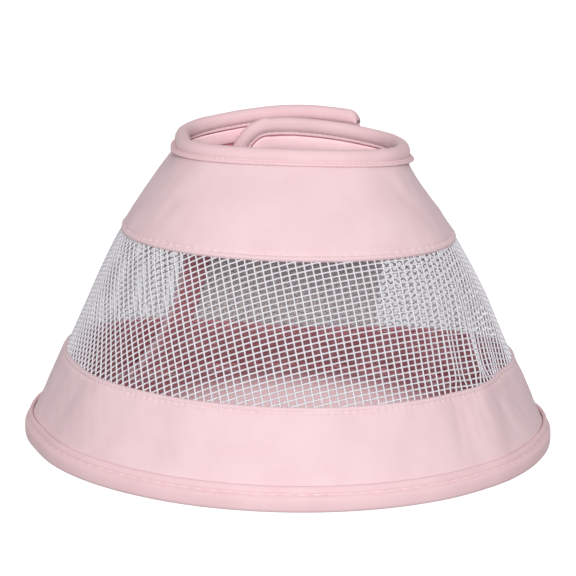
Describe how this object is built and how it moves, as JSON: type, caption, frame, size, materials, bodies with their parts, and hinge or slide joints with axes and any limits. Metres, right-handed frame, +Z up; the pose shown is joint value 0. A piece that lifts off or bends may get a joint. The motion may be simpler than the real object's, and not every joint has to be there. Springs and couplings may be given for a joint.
{
  "type": "mesh recovery collar",
  "caption": "Soft cone collar for a cat or small dog, pink cloth bands with a white net window, bound edges and two flaps that overlap and close at the back.",
  "frame": {"origin": "on the table, under the middle of the collar's footprint as it stands on its wide rim", "axes": "+Z up from the wide rim to the neck, the front faces -Y, the flaps overlap at +Y, +X is the collar's right in a front view"},
  "size_m": [0.19, 0.181, 0.1134],
  "materials": {
    "pink_twill": "matte cotton twill",
    "pink_tape": "matte bias tape",
    "pale_facing": "matte cotton",
    "white_net": "satin coated thread",
    "hook_and_loop": "matte"
  },
  "bodies": {
    "root": {"lower_band": "pink_twill", "upper_band": "pink_twill", "net_panel": "white_net", "hem_binding": "pink_tape", "neck_binding": "pink_tape", "inner_end_binding": "pink_tape", "outer_end_binding": "pink_tape", "neck_facing": "pale_facing", "loop_patch": "hook_and_loop", "hook_patch": "hook_and_loop"}
  },
  "joints": []
}
